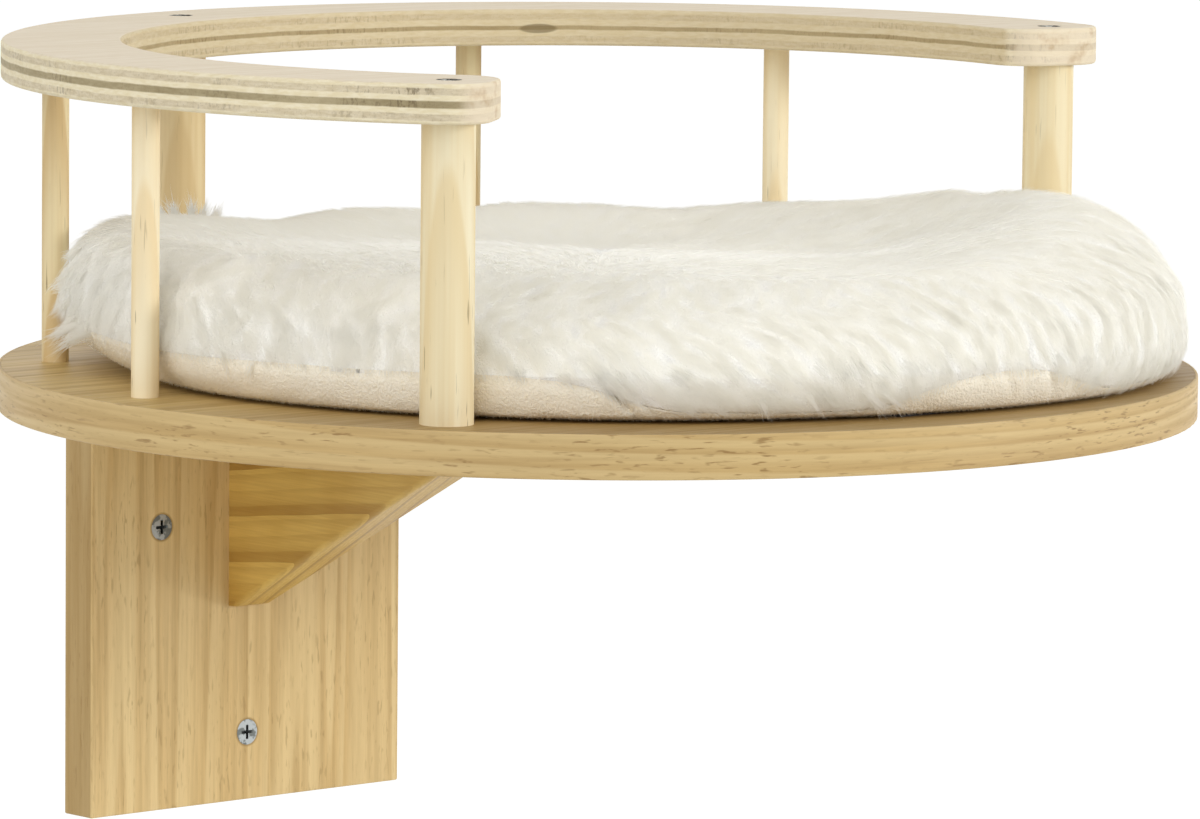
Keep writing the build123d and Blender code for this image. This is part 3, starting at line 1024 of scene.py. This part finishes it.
skin, skin_faces = triangles_of(grid[: seam_row + 1])
whole, whole_faces = triangles_of(grid)
skin_tree = BVHTree.FromPolygons([Vector(v) for v in whole], whole_faces.tolist())


def combed(roots, ways):
    """Which way the pile lies at each root: outwards, in slow swirls, and down at the side."""
    out = np.zeros_like(roots)
    out[:, :2] = unit(roots[:, :2] - middle)
    swirl = 0.6 * drift(roots, 0.12, 21) + 0.25 * drift(roots, 0.035, 22)
    turned = out.copy()
    turned[:, 0] = out[:, 0] * np.cos(swirl) - out[:, 1] * np.sin(swirl)
    turned[:, 1] = out[:, 0] * np.sin(swirl) + out[:, 1] * np.cos(swirl)
    turned[:, 2] = -0.35
    along = turned - ways * np.sum(turned * ways, axis=1, keepdims=True)
    return unit(along)


def guides(roots, ways, lengths, lean, loft, sag):
    """Paths of hairs from those roots that lie down on the cushion and hang off its side."""
    lie = combed(roots, ways)
    head = unit(lie * np.cos(lean)[:, None] + ways * np.sin(lean)[:, None])
    paths = [roots + ways * 0.0002]
    step = (lengths / (guide_steps - 1))[:, None]
    for k in range(1, guide_steps):
        ahead = paths[-1] + head * step
        need = 0.0003 + 0.0010 * k / (guide_steps - 1)
        most = loft * (0.4 + 0.6 * k / (guide_steps - 1))
        for j in range(len(ahead)):
            near, look, _, _ = skin_tree.find_nearest(Vector(ahead[j]))
            over = (Vector(ahead[j]) - near).dot(look)
            if not need < over < most[j]:
                ahead[j] += np.array(look) * (min(max(over, need), most[j]) - over)
        ahead = clear_of_uprights(ahead)
        ahead[:, 2] = np.maximum(ahead[:, 2], lowest_guide)
        head = unit(ahead - paths[-1])
        head = unit(head + np.array([0, 0, -1.0]) * sag)
        paths.append(ahead)
    return np.stack(paths, 1)


def locks(count, length_of, lean_of, loft_of, spread, sag):
    """Hairs gathered in small locks: their paths, the way the cover looks, their widths.
    spread is how far a lock narrows to its tips, and sag is how fast it bends down."""
    roots, ways = scattered(skin, skin_faces, count)
    lengths = length_of(roots) * pile_chance.uniform(0.75, 1.2, count)
    lean = lean_of(roots) * pile_chance.uniform(0.8, 1.2, count)
    loft = loft_of(roots) * pile_chance.uniform(0.8, 1.2, count)
    leads = guides(roots, ways, lengths, lean, loft, sag)
    side_a = unit(np.cross(ways, leads[:, 1] - leads[:, 0]))
    side_b = np.cross(ways, side_a)
    round_lock = pile_chance.uniform(0, 2 * math.pi, (count, lock_hairs))
    out_lock = np.sqrt(pile_chance.random((count, lock_hairs))) * lock_width
    reach_a = (np.cos(round_lock) * out_lock)[:, :, None, None] * side_a[:, None, None]
    reach_b = (np.sin(round_lock) * out_lock)[:, :, None, None] * side_b[:, None, None]
    cuts = pile_chance.uniform(0.62, 1.0, (count, lock_hairs))
    share = np.linspace(0, 1, hair_steps + 1)
    at = cuts[:, :, None] * share * (guide_steps - 1)
    low = np.minimum(at.astype(int), guide_steps - 2)
    part = (at - low)[..., None]
    index = np.arange(count)[:, None, None]
    along = leads[index, low] * (1 - part) + leads[index, low + 1] * part
    close = (1 - spread * share**1.2)[None, None, :, None]
    chance = pile_chance.normal(0, 1, (count, lock_hairs, 1, 3))
    stray = chance * share[None, None, :, None] ** 1.5
    paths = along + (reach_a + reach_b) * close + stray * stray_width
    paths = clear_of_uprights(paths.reshape(count * lock_hairs, hair_steps + 1, 3))
    paths[..., 2] = np.maximum(paths[..., 2], lowest_pile)
    looks = [skin_tree.find_nearest(Vector(spot))[1] for spot in leads[:, guide_steps // 2]]
    widths = hair_width * pile_chance.uniform(0.6, 1.2, count * lock_hairs)
    return paths, np.repeat(np.array(looks), lock_hairs, 0), widths


# Degrees from the wall round to the left, and how far in millimetres the pile hangs below
# the sewn line there.
hanging = [(40, 1), (55, 0), (75, 0), (90, 2.2), (136, 2.4), (144, 5), (166, 5), (172, 1.5)]
hanging += [(192, 1.5), (198, 8), (222, 10), (240, 9), (300, 2)]


def left_share(roots):
    """1 at the cushion's left end, where the pile is ruffled, and 0 well away from it."""
    return np.clip((-roots[:, 0] - 0.09) / 0.08, 0, 1)


def pile_reach(roots):
    """How long the pile is: longer at the side, but so that it ends near the sewn line."""
    off = roots[:, :2] - middle
    out = np.linalg.norm(off, axis=1)
    at_side = np.clip((out - 0.15) / 0.03, 0, 1)
    length = pile_length * (0.85 + 0.3 * at_side)
    degrees = np.degrees(np.arctan2(-off[:, 0], off[:, 1])) % 360
    below = metres_at(hanging, degrees)
    sewn = np.interp(degrees, np.degrees(turn), seam_at, period=360)
    room = (roots[:, 2] - board_top - sewn) * 1.15 + below + 0.0008
    return np.where(at_side > 0.5, np.clip(room, 0.0035, length), length)


def pile_lean(roots):
    """How steeply the pile leaves the cover."""
    return np.radians(6.5 + 20 * left_share(roots))


def pile_loft(roots):
    """How high the tips stand over the cover."""
    return 0.0014 + 0.0036 * left_share(roots)


lock_count = 11500
pile_forms = pile_reach, pile_lean, pile_loft
paths, ways, widths = locks(lock_count, *pile_forms, spread=0.12, sag=0.12)

# Loose tufts: the turn, reach and height in millimetres of the root, the way that it points
# in, then its length and width in millimetres and its number of hairs.
to_left = np.array([-0.749, 0.662, 0])
to_view = np.array([-0.662, -0.749, 0])
up = np.array([0, 0, 1.0])
tufts = [
    (66, 187, 17.5, to_left - 0.12 * up + 0.25 * to_view, 14, 2.6, 150),
    (68, 187, 16, to_left - 0.28 * up + 0.35 * to_view, 15, 2.6, 160),
    (64, 188, 20, to_left - 0.5 * up + 0.25 * to_view, 12, 2.6, 110),
    (60, 188, 25, to_left - 0.5 * up + 0.2 * to_view, 9, 3.0, 90),
    (58, 188, 31, to_left - 0.2 * up + 0.15 * to_view, 8, 3.0, 90),
    (58, 188, 36, to_left - 0.4 * up + 0.3 * to_view, 8, 3.0, 90),
    (56, 188, 41, to_left + 0.2 * up, 6, 3.0, 80),
    (97, 184, 36, to_view * 0.7 + 1.2 * to_left - 0.6 * up, 9, 2.0, 60),
    (95, 184, 17, to_view * 0.4 - up - 0.2 * to_left, 8, 1.2, 40),
    (99, 184, 15, to_view * 0.6 - up + 0.4 * to_left, 6, 1.6, 40),
    (30, 165, 44, up + 0.8 * to_left, 13.5, 2.4, 90),
    (27.6, 165, 44, up + 0.4 * to_left, 15, 2.2, 130),
    (24.8, 165, 44, up + 0.2 * to_left, 16, 2.2, 150),
    (21.9, 165, 44, up, 17, 2.0, 160),
    (20.2, 165, 44, up - 0.2 * to_left, 16, 1.9, 140),
    (18.3, 165, 44, up - 0.4 * to_left, 15, 2.0, 130),
    (16.4, 165, 44, up - 0.2 * to_left, 11.5, 1.9, 100),
    (14.6, 165, 43, up - 0.2 * to_left, 7, 1.9, 60),
    (160, 192, 9, to_view * 0.6 - 0.9 * up - 0.9 * to_left, 9, 1.6, 40),
    (166, 194, 10, to_view * 0.7 - 0.8 * up - 1.2 * to_left, 13, 1.4, 40),
    (168, 195, 9, to_view * 0.6 - 0.7 * up - 1.5 * to_left, 12, 1.0, 26),
    (155, 190, 8, to_view * 0.5 - 1.0 * up - 0.6 * to_left, 8, 2.0, 40),
]


def tuft(turned, out, high, way, length, width, hairs):
    """One long lock that stands off the cover and narrows to its tip."""
    x, y = round_board(out / 1000, math.radians(turned))
    root, look, _, _ = skin_tree.find_nearest(Vector((x, y, board_top + high / 1000)))
    way, look = unit(way), np.array(look)
    share = np.linspace(0, 1, hair_steps + 1)
    cuts = pile_chance.uniform(0.45, 1.0, (hairs, 1)) * share
    spread = pile_chance.normal(0, 0.5, (hairs, 1, 3)) * width / 1000
    bend = pile_chance.normal(0, 0.12, (hairs, 1, 3))
    along = np.array(root) + way * (cuts * length / 1000)[..., None]
    along = along - up * (0.25 * length / 1000) * (cuts**2)[..., None]
    path = along + spread * (1 - 0.8 * cuts[..., None])
    path = clear_of_uprights(path + bend * (cuts**2)[..., None] * length / 1000)
    path[..., 2] = np.maximum(path[..., 2], lowest_pile)
    outward = unit(0.4 * look + to_view + 0.3 * up)
    wide = hair_width * pile_chance.uniform(0.6, 1.1, hairs)
    return path, np.tile(outward, (hairs, 1)), wide


for made in [tuft(*row) for row in tufts]:
    paths, ways, widths = (np.concatenate(pair) for pair in zip((paths, ways, widths), made))
hairs_in_piece = 25000
for k in range(0, len(paths), hairs_in_piece):
    some = slice(k, k + hairs_in_piece)
    name = f"plush_pile_{k // hairs_in_piece + 1}"
    hairs = paths[some], ways[some], widths[some]
    hair_mesh(name, *hairs, pile_looks, "white_plush", upper_cover)

# The nap of the under cover: short dense fibre on its side, which roughens its lower edge.
nap_count = 60000
nap_length, nap_width = 0.001, 0.0002
nap_glow = colour(255, 250, 237)
nap_shades = colour(255, 250, 236), colour(255, 245, 226)
nap_looks = plush_looks("velour_nap", *nap_shades, 0.0002, through=0.66, glow=nap_glow)
roots, looks = scattered(*triangles_of(grid[seam_row - 1 : -14]), nap_count)
lie = unit(0.7 * looks + pile_chance.normal(0, 0.5, looks.shape))
lengths = nap_length * pile_chance.uniform(0.5, 1.1, (nap_count, 1, 1))
paths = roots[:, None] + lie[:, None] * lengths * np.linspace(0, 1, 3)[None, :, None]
paths[..., 2] = np.maximum(paths[..., 2], board_top + rest_gap)
widths = nap_width * pile_chance.uniform(0.7, 1.2, nap_count)
ways = unit(looks + 0.6 * up)
hair_mesh("velour_nap", paths, ways, widths, nap_looks, "cream_velour", under_cover)
